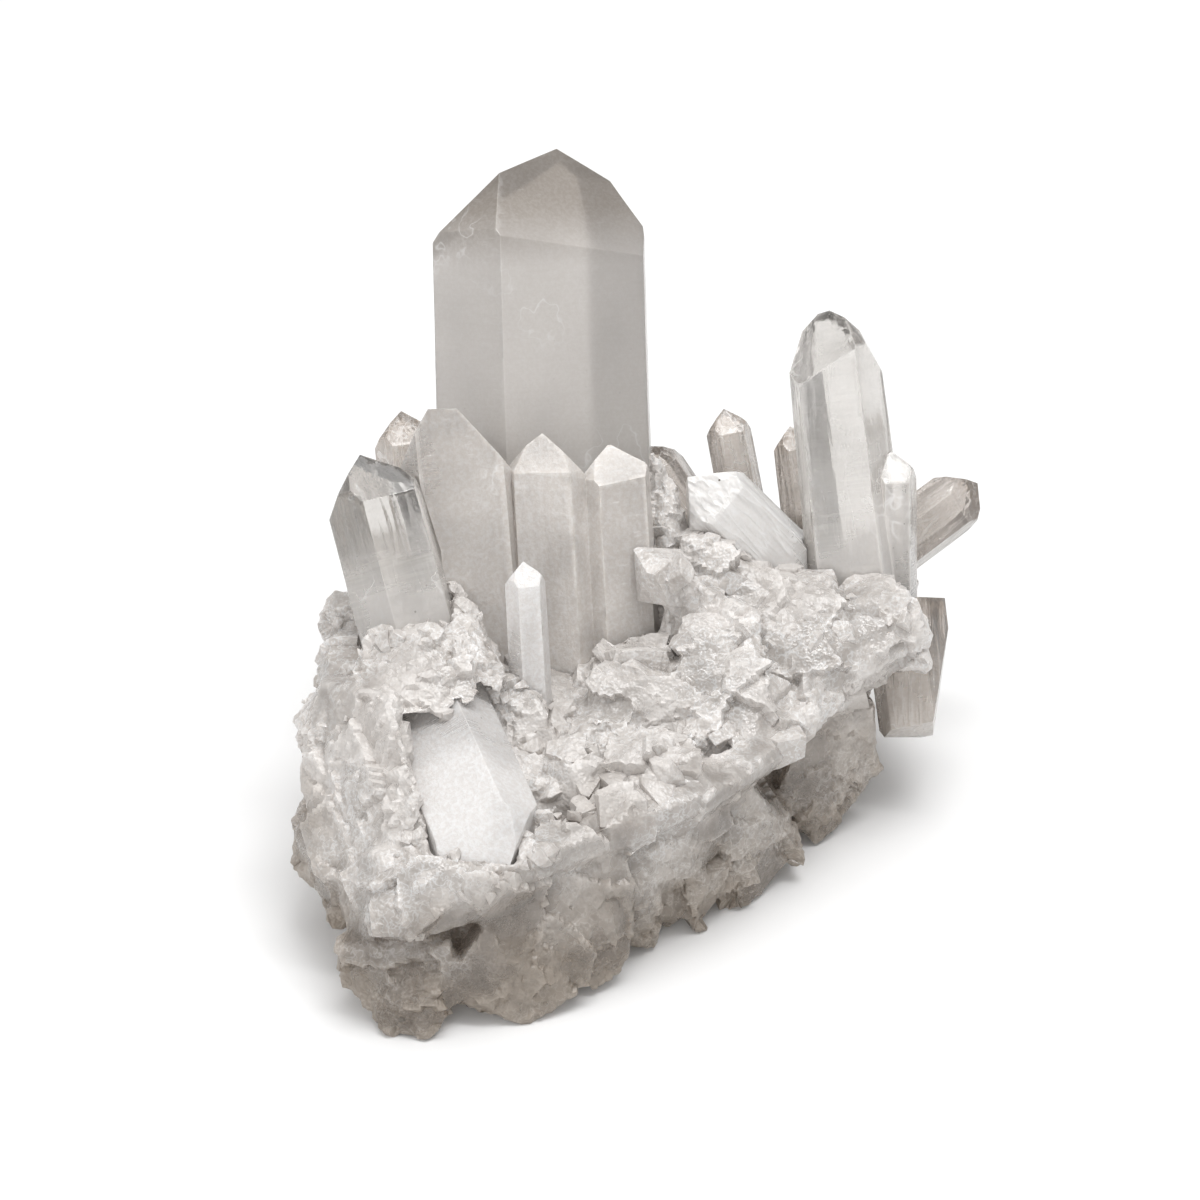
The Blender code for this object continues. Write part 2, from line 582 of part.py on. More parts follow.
def join(target, tool, operation):
    """Joins one shape to the target, or cuts it away."""
    modifier = target.modifiers.new(tool.name, "BOOLEAN")
    modifier.operation = operation
    modifier.solver = "EXACT"
    modifier.object = tool


if __name__ == "__main__":
    main()
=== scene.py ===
"""Quartz crystal cluster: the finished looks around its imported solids.

Lengths are in millimetres in the settings and in metres in the meshes, with +Z up.
"""

import math
import random

import bmesh
import bpy
import numpy as np
from mathutils import Matrix, Quaternion, Vector, noise
from mathutils.bvhtree import BVHTree


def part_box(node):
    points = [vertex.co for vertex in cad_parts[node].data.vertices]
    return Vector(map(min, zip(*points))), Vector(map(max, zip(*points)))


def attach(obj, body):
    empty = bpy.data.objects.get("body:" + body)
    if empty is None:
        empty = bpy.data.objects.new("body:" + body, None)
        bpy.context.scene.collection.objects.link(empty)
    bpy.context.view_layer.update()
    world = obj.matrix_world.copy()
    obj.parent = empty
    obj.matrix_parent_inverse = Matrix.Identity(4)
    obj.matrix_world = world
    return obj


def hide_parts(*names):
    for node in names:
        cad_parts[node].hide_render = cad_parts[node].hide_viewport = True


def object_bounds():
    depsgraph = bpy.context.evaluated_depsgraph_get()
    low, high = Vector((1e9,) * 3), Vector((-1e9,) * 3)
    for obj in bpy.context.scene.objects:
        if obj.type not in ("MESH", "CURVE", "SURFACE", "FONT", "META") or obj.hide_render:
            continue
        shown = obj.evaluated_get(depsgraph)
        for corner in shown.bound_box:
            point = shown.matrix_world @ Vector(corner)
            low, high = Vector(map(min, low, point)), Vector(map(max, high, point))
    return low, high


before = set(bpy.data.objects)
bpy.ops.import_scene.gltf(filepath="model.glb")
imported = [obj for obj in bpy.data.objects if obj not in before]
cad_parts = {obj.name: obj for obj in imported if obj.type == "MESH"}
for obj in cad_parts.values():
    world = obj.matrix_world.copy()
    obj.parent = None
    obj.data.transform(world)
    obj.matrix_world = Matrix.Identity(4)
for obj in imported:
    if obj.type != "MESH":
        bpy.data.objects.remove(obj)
CAD_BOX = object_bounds()

bl_info = {
    "name": "Quartz crystal cluster",
    "version": (1, 0, 0),
    "blender": (4, 5, 0),
    "location": "View3D > Sidebar > Quartz",
    "description": "Builds a natural cluster of clear quartz points in their milky matrix",
    "category": "Add Mesh",
}

MM = 0.001
SEED = 7
QUARTZ_IOR = 1.544


def to_linear(tint):
    """The light values of a colour written as RRGGBB."""
    return tuple(
        value / 12.92 if value <= 0.04045 else ((value + 0.055) / 1.055) ** 2.4
        for value in (int(tint[start:start + 2], 16) / 255 for start in (0, 2, 4))
    )


def add_node(tree, kind, inputs=(), **options):
    """Adds a node with its settings. inputs gives each socket a value or the output that feeds it."""
    made = tree.nodes.new(kind)
    for name, value in options.items():
        setattr(made, name, value)
    for socket, value in dict(inputs).items():
        if isinstance(value, bpy.types.NodeSocket):
            tree.links.new(value, made.inputs[socket])
        else:
            made.inputs[socket].default_value = value
    return made


def new_material(name):
    """An empty material with its output node."""
    made = bpy.data.materials.new(name)
    made.use_nodes = True
    made.node_tree.nodes.clear()
    return made, made.node_tree, add_node(made.node_tree, "ShaderNodeOutputMaterial")


def spread(tree, value, low, high, to_low, to_high):
    """A value from low to high turned into one from to_low to to_high."""
    inputs = {"Value": value, "From Min": low, "From Max": high, "To Min": to_low, "To Max": to_high}
    return add_node(tree, "ShaderNodeMapRange", inputs).outputs["Result"]


def blend(tree, factor, low, high, way="MIX"):
    """A colour between two, or one tinted by the other, each a hex value, a tuple or an output."""
    made = add_node(tree, "ShaderNodeMix", {"Factor": factor}, data_type="RGBA", blend_type=way)
    for socket, value in ((made.inputs[6], low), (made.inputs[7], high)):
        if isinstance(value, bpy.types.NodeSocket):
            tree.links.new(value, socket)
        else:
            socket.default_value = (*(to_linear(value) if isinstance(value, str) else value), 1)
    return made.outputs[2]


def calculate(tree, operation, *values, clamp=False):
    """The result of one calculation on values or outputs."""
    inputs = dict(enumerate(values))
    return add_node(tree, "ShaderNodeMath", inputs, operation=operation, use_clamp=clamp).outputs[0]


def times(tree, first, second):
    """The product of two values or outputs."""
    return calculate(tree, "MULTIPLY", first, second)


def grainy(tree, coordinates, scale, detail, roughness=0.5):
    """The strength of a noise whose features are one over scale apart, in the units of the coordinates."""
    inputs = {"Vector": coordinates, "Scale": scale, "Detail": detail, "Roughness": roughness}
    return add_node(tree, "ShaderNodeTexNoise", inputs).outputs["Fac"]


def roughen(tree, height, distance, strength, *below):
    """A bump of a height field, on the bump below it if there is one."""
    inputs = {"Height": height, "Distance": distance, "Strength": strength}
    inputs.update(("Normal", normal) for normal in below)
    return add_node(tree, "ShaderNodeBump", inputs).outputs[0]


def finish_material(tree, output, surface, tint, density):
    """Ends a quartz material with its surface, and a body that tints what is seen through it."""
    shader = add_node(tree, "ShaderNodeBsdfPrincipled", {"IOR": QUARTZ_IOR, **surface})
    inside = {"Color": (*to_linear(tint), 1), "Density": density}
    body = add_node(tree, "ShaderNodeVolumeAbsorption", inside)
    tree.links.new(shader.outputs[0], output.inputs["Surface"])
    tree.links.new(body.outputs[0], output.inputs["Volume"])


def specks(tree, coordinates, scale, radius, rarity):
    """One at scattered small specks and nothing elsewhere."""
    cells = add_node(tree, "ShaderNodeTexVoronoi", {"Vector": coordinates, "Scale": scale})
    near = calculate(tree, "LESS_THAN", cells.outputs["Distance"], radius)
    pick = add_node(tree, "ShaderNodeSeparateColor", {0: cells.outputs["Color"]})
    return times(tree, near, calculate(tree, "GREATER_THAN", pick.outputs[0], rarity))


def crease(tree, field, width):
    """One along the winding line where a noise field crosses its middle, down to nothing width away."""
    away = calculate(tree, "ABSOLUTE", calculate(tree, "SUBTRACT", field, 0.5))
    return spread(tree, away, 0, width, 1, 0)


# The kinds of point. tint and milk colour the clear and the hazy places, tip_shade is a painted shade that
# darkens the tip, and absorb and density are the body. foot and tip say how much haze gathers at each end.
# polish and matt are the roughness, and clear and cloudy the transmission, of the clear and the hazy
# places. grain, ridges, scratches and lines say how strongly each kind of mark shows.
KINDS = {
    "clear_quartz": dict(
        tint="E0DBD7", milk="D2CDC7", tip_shade="BEB7AF", absorb="857C74", density=20,
        foot=0.75, tip=0.4, polish=0.25, matt=0.42, clear=0.75, cloudy=0.35,
        grain=0.12, ridges=0.0, scratches=0.2, lines=0.03,
    ),
    "glassy_quartz": dict(
        tint="EFECE8", milk="E4DFDA", tip_shade="FFFFFF", absorb="857C74", density=24,
        foot=0.85, tip=0.15, polish=0.05, matt=0.42, clear=0.96, cloudy=0.25,
        grain=0.15, ridges=0.15, scratches=0.05, lines=0.08,
    ),
    "frosted_quartz": dict(
        tint="E2DBD5", milk="DED7D0", tip_shade="FFFFFF", absorb="8A7F77", density=12,
        foot=0.95, tip=0.65, polish=0.16, matt=0.4, clear=0.85, cloudy=0.25,
        grain=0.35, ridges=0.1, scratches=0.5, lines=0.15,
    ),
    "broken_quartz": dict(
        tint="EBE6E2", milk="EFEBE8", tip_shade="FFFFFF", absorb="8F857D", density=6,
        foot=0.6, tip=0.9, polish=0.1, matt=0.36, clear=0.9, cloudy=0.25,
        grain=0.7, ridges=0.0, scratches=0.4, lines=0.1,
    ),
    "ridged_quartz": dict(
        tint="F4F0EC", milk="F6F3F0", tip_shade="FFFFFF", absorb="9A9088", density=2,
        foot=0.95, tip=0.8, polish=0.1, matt=0.36, clear=0.7, cloudy=0.2,
        grain=0.4, ridges=0.6, scratches=0.0, lines=0.05,
    ),
    "smoky_quartz": dict(
        tint="DBD2CA", milk="D0C7BE", tip_shade="E6E0DA", absorb="776B61", density=34,
        foot=0.65, tip=0.3, polish=0.08, matt=0.38, clear=0.92, cloudy=0.3,
        grain=0.2, ridges=0.4, scratches=0.1, lines=0.1,
    ),
}
# Which kind each point is.
POINTS = {
    "main_crystal": "clear_quartz",
    "right_crystal": "glassy_quartz",
    "left_crystal": "glassy_quartz",
    "front_crystals": "frosted_quartz",
    "lower_left_crystal": "broken_quartz",
    "small_front_crystal": "broken_quartz",
    "middle_crystal": "ridged_quartz",
    "left_back_crystal": "smoky_quartz",
    "back_crystal_left": "smoky_quartz",
    "back_crystal_middle": "smoky_quartz",
    "back_crystal_right": "smoky_quartz",
    "right_back_crystal": "smoky_quartz",
    "right_low_crystal": "smoky_quartz",
    "rear_crystal_left": "frosted_quartz",
    "rear_crystal_middle": "frosted_quartz",
    "rear_crystal_right": "frosted_quartz",
}


class QuartzSettings(bpy.types.PropertyGroup):
    edge: bpy.props.FloatProperty(
        name="Worn edge", description="Width of the fine worn band along each edge, in mm",
        default=0.09, min=0.02, max=0.6,
    )
    cut: bpy.props.FloatProperty(
        name="Face step", description="Spacing of the fine mesh on the faces, in mm",
        default=0.9, min=0.4, max=3,
    )
    ripple: bpy.props.FloatProperty(
        name="Ripple", description="Height of the growth ripples across the faces, in mm",
        default=0.05, min=0, max=0.3,
    )
    grain: bpy.props.FloatProperty(
        name="Matrix grain", description="Step of the matrix's fine mesh, in mm",
        default=0.62, min=0.5, max=4,
    )
    chips: bpy.props.IntProperty(
        name="Chips", description="How many small broken bits are grown on the matrix",
        default=140, min=0, max=2000,
    )
    blocks: bpy.props.IntProperty(
        name="Blocks", description="How many broken blocks are grown into the slab",
        default=100, min=0, max=1000,
    )
    matrix_tint: bpy.props.FloatVectorProperty(
        name="Matrix colour", description="Colour of the milky quartz",
        default=to_linear("DDD6D0"), subtype="COLOR", size=3, min=0, max=1,
    )
    # painted shade: the side below the ledge takes this darker grey-brown for the shade that falls under
    # the ledge
    underside_shade_tint: bpy.props.FloatVectorProperty(
        name="Underside colour", description="Colour of the stained side below the ledge",
        default=to_linear("B0A395"), subtype="COLOR", size=3, min=0, max=1,
    )
    floor_tint: bpy.props.FloatVectorProperty(
        name="Floor colour", description="Colour of the studio floor",
        default=to_linear("F4F4F4"), subtype="COLOR", size=3, min=0, max=1,
    )


def settings():
    """The values that the sidebar shows."""
    return bpy.context.scene.quartz


def new_piece(name, bm, nodes, slot_name, *materials):
    """Puts a finished mesh in the scene as a piece that stands for CAD nodes."""
    mesh = bpy.data.meshes.new(name)
    bm.to_mesh(mesh)
    bm.free()
    for material in materials:
        mesh.materials.append(material)
    piece = bpy.data.objects.new(name, mesh)
    bpy.context.scene.collection.objects.link(piece)
    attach(piece, "root")
    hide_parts(*nodes)
    return piece


def cad_copy(node):
    """The shape of a CAD node with its loose triangles merged and its flat faces whole again."""
    bm = bmesh.new()
    bm.from_mesh(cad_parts[node].data)
    bmesh.ops.remove_doubles(bm, verts=bm.verts[:], dist=1e-6)
    bmesh.ops.recalc_face_normals(bm, faces=bm.faces[:])
    bmesh.ops.dissolve_limit(bm, angle_limit=math.radians(0.5), verts=bm.verts[:], edges=bm.edges[:])
    return bm


def growth_axis(bm, node):
    """The direction that a point grew in: the one that its prism faces lie along, away from the slab."""
    gathered = np.zeros((3, 3))
    for face in bm.faces:
        normal = np.array(face.normal)
        gathered += face.calc_area() * np.outer(normal, normal)
    axis = Vector(np.linalg.eigh(gathered)[1][:, 0])
    low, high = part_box(node)
    middle = (Vector(low) + Vector(high)) / 2
    slab_low, slab_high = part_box("matrix")
    slab_middle = (Vector(slab_low) + Vector(slab_high)) / 2
    if axis.dot(middle - slab_middle) < 0:
        axis.negate()
    return axis.normalized()


def slice_faces(bm, direction, step):
    """Cuts the faces along evenly spaced planes, so that their surface can be worked finely."""
    reach = [vertex.co.dot(direction) for vertex in bm.verts]
    place = min(reach) + step / 2
    while place < max(reach):
        bmesh.ops.bisect_plane(
            bm, geom=bm.verts[:] + bm.edges[:] + bm.faces[:], dist=1e-7,
            plane_co=direction * place, plane_no=direction,
        )
        place += step


def keep_in_box(co):
    """A place moved inside the CAD model's box if it lies outside."""
    return Vector([min(max(value, low), high) for value, low, high in zip(co, *CAD_BOX)])


def nearest_ridge(place, ridges):
    """How far a place is from the nearest of the straight ridges between pairs of ends."""
    least = math.inf
    for first, second in ridges:
        line = second - first
        share = min(max((place - first).dot(line) / line.length_squared, 0), 1)
        least = min(least, (place - first - line * share).length)
    return least


def work_point(node, dice):
    """A clear point with worn edges and growth ripples, and how far along it each place is."""
    given = settings()
    bm = cad_copy(node)
    axis = growth_axis(bm, node)
    across = axis.orthogonal().normalized()
    least = math.radians(8)
    sharp = [edge for edge in bm.edges if len(edge.link_faces) == 2 and edge.calc_face_angle() > least]
    ridges = [tuple(vertex.co.copy() for vertex in edge.verts) for edge in sharp]
    bmesh.ops.bevel(
        bm, geom=sharp, offset=given.edge * MM, offset_type="OFFSET", segments=2, profile=0.5,
        affect="EDGES", material=-1, clamp_overlap=True,
    )
    for direction, share in ((axis, 0.7), (across, 1.3), (axis.cross(across), 1.3)):
        slice_faces(bm, direction, given.cut * share * MM)
    bmesh.ops.triangulate(bm, faces=[face for face in bm.faces if len(face.verts) > 4])
    along = [vertex.co.dot(axis) for vertex in bm.verts]
    foot, tip = min(along), max(along)
    shift = Vector([dice.uniform(0, 50) for _ in range(3)])
    growth = bm.verts.layers.float_vector.new("growth")
    height = bm.verts.layers.float.new("height")
    wear = bm.verts.layers.float.new("wear")
    bm.normal_update()
    moves = []
    for vertex in bm.verts:
        place = vertex.co / MM
        level = place.dot(axis)
        local = Vector((place.dot(across), place.dot(axis.cross(across)), level))
        vertex[growth] = local
        vertex[height] = (vertex.co.dot(axis) - foot) / (tip - foot)
        vertex[wear] = max(0, 1 - nearest_ridge(vertex.co, ridges) / (0.6 * given.edge * MM))
        steps = noise.noise(Vector((local.x * 0.12, local.y * 0.12, local.z * 1.9)) + shift)
        swell = noise.noise(place * 0.16 + shift)
        moves.append(vertex.normal * (0.02 * steps + 0.9 * swell - 0.3) * given.ripple * MM)
    for vertex, move in zip(bm.verts, moves):
        vertex.co = keep_in_box(vertex.co + move)
    for face in bm.faces:
        face.smooth = True
    return bm


def quartz_material(name):
    """Clear rock crystal: glassy with fine growth lines and pits, hazy and matt towards its foot.

    It gives the eye a grey transparency with soft cloudy patches, fine bright lines across the prism
    faces and small dark specks.
    """
    kind = KINDS[name]
    made, tree, output = new_material(name)
    coordinates = add_node(tree, "ShaderNodeTexCoord").outputs["Object"]
    growth = add_node(tree, "ShaderNodeAttribute", attribute_name="growth").outputs["Vector"]
    height = add_node(tree, "ShaderNodeAttribute", attribute_name="height").outputs["Fac"]
    # soft clouds 15 mm across
    clouds = grainy(tree, coordinates, 65, 2)
    # growth lines 0.4 mm apart that run across the point, and short scratches 1 mm long
    stretched = add_node(tree, "ShaderNodeMapping", {"Vector": growth, "Scale": (0.16, 0.16, 2.4)})
    lines = grainy(tree, stretched.outputs[0], 1, 4)
    streaked = add_node(tree, "ShaderNodeMapping", {"Vector": growth, "Scale": (0.45, 0.45, 3)})
    scratches = specks(tree, streaked.outputs[0], 1, 0.24, 0.88)
    # ridges 2 mm apart that run lengthwise, and fractures that wind 7 mm apart
    lengthwise = add_node(tree, "ShaderNodeMapping", {"Vector": growth, "Scale": (0.5, 0.5, 0.06)})
    ridges = grainy(tree, lengthwise.outputs[0], 1, 2)
    winding = crease(tree, grainy(tree, coordinates, 150, 3), 0.012)
    marks = times(tree, winding, spread(tree, clouds, 0.5, 0.62, 0, 0.8))
    for more, share in ((crease(tree, ridges, 0.02), "ridges"), (scratches, "scratches")):
        marks = calculate(tree, "MAXIMUM", marks, times(tree, more, kind[share]))
    # grain 0.5 mm across
    grain = grainy(tree, growth, 1.9, 3, 0.7)
    haze = spread(tree, height, 0.1, 0.75, kind["foot"], kind["tip"])
    wear = add_node(tree, "ShaderNodeAttribute", attribute_name="wear").outputs["Fac"]
    for part in (spread(tree, clouds, 0.35, 0.7, -0.2, 0.3), spread(tree, lines, 0.45, 0.75, -0.03, 0.1),
                 spread(tree, wear, 0.2, 1, 0, 0.5), times(tree, marks, 0.5)):
        haze = calculate(tree, "ADD", haze, part, clamp=True)
    tint = blend(tree, haze, kind["tint"], kind["milk"])
    # painted shade: the top of each point is multiplied by its tip_shade colour, darkening the tip faces
    # that the lamps light more than the prism faces
    tint = blend(tree, spread(tree, height, 0.8, 0.9, 0, 1), tint, kind["tip_shade"], "MULTIPLY")
    tint = blend(tree, spread(tree, grain, 0.42, 0.62, 0, kind["grain"]), tint, "FFFFFF")
    tint = blend(tree, times(tree, marks, 0.6), tint, "FFFFFF")
    # dark pin dots 0.3 mm across, thickest near the foot
    dots = times(tree, specks(tree, coordinates, 700, 0.1, 0.9), spread(tree, height, 0.1, 0.6, 1, 0.1))
    tint = blend(tree, dots, tint, "6A5E55")
    normal = roughen(tree, lines, 0.0001, kind["lines"])
    if kind["ridges"]:
        normal = roughen(tree, crease(tree, ridges, 0.2), 0.0005, kind["ridges"], normal)
    surface = {
        "Base Color": tint,
        "Roughness": spread(tree, haze, 0, 1, kind["polish"], kind["matt"]),
        "Transmission Weight": spread(tree, haze, 0, 1, kind["clear"], kind["cloudy"]),
        "Coat Weight": 0.5,
        "Coat Roughness": 0.05,
        "Normal": roughen(tree, grain, 0.0002, kind["grain"], normal),
    }
    finish_material(tree, output, surface, kind["absorb"], kind["density"])
    return made


class QUARTZ_OT_points(bpy.types.Operator):
    """Build the clear points, one piece for each CAD node"""

    bl_idname = "quartz.points"
    bl_label = "Clear points"

    def execute(self, context):
        dice = random.Random(SEED)
        materials = {name: quartz_material(name) for name in KINDS}
        for node, kind in POINTS.items():
            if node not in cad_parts:
                raise RuntimeError(f"the frame has no node {node}")
            bm = work_point(node, dice)
            piece = new_piece(f"{node}_looks", bm, [node], f"{node}_quartz", materials[kind])
            piece.data.set_sharp_from_angle(angle=math.radians(24))
        return {"FINISHED"}


def shave(bm, point, outward):
    """Cuts away what lies beyond a plane and closes the cut with one flat face."""
    cut = bmesh.ops.bisect_plane(
        bm, geom=bm.verts[:] + bm.edges[:] + bm.faces[:], plane_co=point, plane_no=outward, clear_outer=True
    )
    rim = [part for part in cut["geom_cut"] if isinstance(part, bmesh.types.BMEdge)]
    if len(rim) > 2:
        bmesh.ops.contextual_create(bm, geom=rim)


def wear_bit(bm):
    """Wears the edges of a small bit a little, and makes it of triangles."""
    bmesh.ops.bevel(bm, geom=bm.edges[:], offset=0.03, offset_type="OFFSET", segments=1, profile=0.5,
                    affect="EDGES", material=-1, clamp_overlap=True)
    bmesh.ops.triangulate(bm, faces=bm.faces[:])
    bmesh.ops.recalc_face_normals(bm, faces=bm.faces[:])
    return bm


def broken_bit(dice):
    """A small angular bit, about one unit across, with seven broken faces."""
    bm = bmesh.new()
    bmesh.ops.create_cube(bm, size=1.2)
    for _ in range(7):
        direction = Vector([dice.gauss(0, 1) for _ in range(3)]).normalized()
        shave(bm, direction * dice.uniform(0.32, 0.55), direction)
    return wear_bit(bm)


def spots_on(bm, dice, count, weigh):
    """Places picked at random on the faces, with the way each face looks."""
    faces = list(bm.faces)
    spots = []
    for face in dice.choices(faces, [face.calc_area() * weigh(face) for face in faces], k=count):
        first, second, third = (vertex.co for vertex in face.verts)
        a, b = sorted((dice.random(), dice.random()))
        spots.append((first * a + second * (b - a) + third * (1 - b), face.normal.copy()))
    return spots


def add_bits(bm, spots, shapes, dice, sizes, upright, stretch, sink):
    """Sets one of the shapes on each spot, leaning between upright and the way the face looks.

    The sizes are square roots of mm, which keeps the large bits few. A bit sinks in by a share of its size.
    """
    scratch = bpy.data.meshes.new("scratch")
    for spot, normal in spots:
        size = dice.uniform(*sizes) ** 2 * MM
        lean = normal + Vector((0, 0, upright)) + Vector([dice.gauss(0, 0.3) for _ in range(3)])
        turn = Vector((0, 0, 1)).rotation_difference(lean.normalized())
        turn = turn @ Quaternion((0, 0, 1), dice.uniform(0, math.tau))
        shape = Matrix.Diagonal((size, size * dice.uniform(0.6, 1), size * dice.uniform(*stretch), 1))
        bit = dice.choice(shapes).copy()
        place = Matrix.Translation(spot - lean.normalized() * size * sink)
        bit.transform(place @ turn.to_matrix().to_4x4() @ shape)
        bit.to_mesh(scratch)
        bit.free()
        bm.from_mesh(scratch)
    bpy.data.meshes.remove(scratch)


def on_top(face):
    """How much a face draws bits that stand on the upper side of the slab."""
    return 1 if face.normal.z > 0.15 and face.calc_center_median().z > 0.014 else 0.02


def in_the_jumble(face):
    """How much a face draws large blocks: they lie between the right points and the ledge."""
    middle = face.calc_center_median() / MM
    return on_top(face) if middle.z > 21 and middle.x > -18 else 0.01


def on_walls(face):
    """How much a face draws bits that stick to the sides."""
    return 1 if face.normal.z < 0.3 else 0.2


def near_points():
    """A weighing that picks the lower places on the slab's upper side within 2 mm of a point."""
    shapes = []
    for node in POINTS:
        shape = cad_copy(node)
        shapes.append(BVHTree.FromBMesh(shape))
        shape.free()

    def weigh(face):
        middle = face.calc_center_median()
        least = min(shape.find_nearest(middle)[3] for shape in shapes)
        return on_top(face) if 0.35 * MM < least < 2 * MM and middle.z < 36 * MM else 0

    return weigh


def fine_matrix():
    """The CAD slab as an even fine mesh."""
    bm = cad_copy("matrix")
    mesh = bpy.data.meshes.new("slab_before_remesh")
    bm.to_mesh(mesh)
    bm.free()
    holder = bpy.data.objects.new("slab_before_remesh", mesh)
    bpy.context.scene.collection.objects.link(holder)
    remesh = holder.modifiers.new("fine", "REMESH")
    remesh.mode = "VOXEL"
    remesh.voxel_size = settings().grain * MM
    fine = bmesh.new()
    fine.from_object(holder, bpy.context.evaluated_depsgraph_get())
    bpy.data.objects.remove(holder)
    bpy.data.meshes.remove(mesh)
    bmesh.ops.triangulate(fine, faces=fine.faces[:])
    return fine


class Relief:
    """The vertices of a mesh of triangles as rows of numbers, to move them all at once."""

    def __init__(self, bm):
        bm.verts.index_update()
        self.bm = bm
        self.places = np.array([vertex.co for vertex in bm.verts])
        self.pairs = np.array([[vertex.index for vertex in edge.verts] for edge in bm.edges])
        self.corners = np.array([[vertex.index for vertex in face.verts] for face in bm.faces])
        self.neighbours = np.maximum(np.bincount(self.pairs.ravel(), minlength=len(self.places)), 1)

    def around(self, values):
        """The mean of the neighbours' values at each vertex."""
        gathered = np.zeros_like(values)
        for here, there in ((0, 1), (1, 0)):
            np.add.at(gathered, self.pairs[:, here], values[self.pairs[:, there]])
        return (gathered.T / self.neighbours).T

    def normals(self):
        first, second, third = (self.places[self.corners[:, corner]] for corner in range(3))
        facing = np.cross(second - first, third - first)
        gathered = np.zeros_like(self.places)
        for corner in range(3):
            np.add.at(gathered, self.corners[:, corner], facing)
        return gathered / np.maximum(np.linalg.norm(gathered, axis=1, keepdims=True), 1e-20)

    def rise(self):
        """How far each vertex lies below its neighbours; less than nothing where it stands out."""
        return ((self.around(self.places) - self.places) * self.normals()).sum(axis=1)

    def heal(self, rounds):
        """Raises the hollow places to their surroundings, and leaves the ridges sharp."""
        start = self.places.copy()
        for _ in range(rounds):
            self.places += self.normals() * np.clip(self.rise(), 0, None)[:, None] * 0.8
        return np.linalg.norm(self.places - start, axis=1)

    def push(self, heights):
        """Moves each vertex outward by its height, but not out of the CAD model's box."""
        self.places += self.normals() * np.array(heights)[:, None]
        self.places = np.clip(self.places, *np.array(CAD_BOX))

    def write(self):
        for vertex, place in zip(self.bm.verts, self.places):
            vertex.co = place


# The breaks of the slab's skin: how wide they are in mm, how steep, and how they are turned.
BREAKS = ((6.5, 0.5, 0.5), (2.8, 0.5, 1.3), (1.5, 0.5, 2.2))
# The heights in mm between which the stained side is smoother, and how much of its breaks stays there.
SMOOTH_SIDE = (9, 21)
SMOOTH_SHARE = 0.55
HEAL_ROUNDS = 3


def broken_height(place, patch):
    """The height of a skin of flat breaks at a place, all in mm. The finer ones keep to some patches."""
    height = 0
    for number, (size, steep, turn) in enumerate(BREAKS):
        turned = Quaternion((0.4, 0.5, 0.77), turn) @ place / size
        turned += 0.25 * noise.noise_vector(place / (2 * size))
        _, centres = noise.voronoi(turned)
        lean = noise.noise_vector(centres[0] * 3.7)
        height += steep * size * lean.dot(turned - centres[0]) * (1 if number == 0 else patch)
    low, high = SMOOTH_SIDE
    return height * (SMOOTH_SHARE if low < place.z < high else 1)


def crumble(bm):
    """Heals the cracks and gives the skin its flat breaks, finer in some patches than in others.

    The mesh remembers how frosted each place is, and how much dirt has gathered there.
    """
    noise.seed_set(SEED)
    relief = Relief(bm)
    raised = relief.heal(HEAL_ROUNDS) / MM
    spots = [Vector(place) for place in relief.places / MM]
    patches = [min(max(0.6 + 1.3 * noise.noise(spot * 0.12), 0.15), 1) for spot in spots]
    relief.push([broken_height(spot, patch) * MM for spot, patch in zip(spots, patches)])
    relief.write()
    ridges = np.clip(-relief.rise() / MM, 0, None)
    ridges = (ridges + relief.around(ridges)) / 2
    frost = bm.verts.layers.float.new("frost")
    dirt = bm.verts.layers.float.new("dirt")
    for vertex, spot, patch, sharp, filled in zip(bm.verts, spots, patches, ridges, raised):
        vertex[frost] = min(0.6 * patch + 4 * sharp, 1)
        grime = 0.6 + 0.9 * noise.noise(spot * 0.3)
        level = min(max((spot.z - 3) / 4, 0), 1) * min(max((17 - spot.z) / 4, 0), 1)
        vertex[dirt] = min(max(min(filled / 0.35, 1) * level * grime, 0), 1)


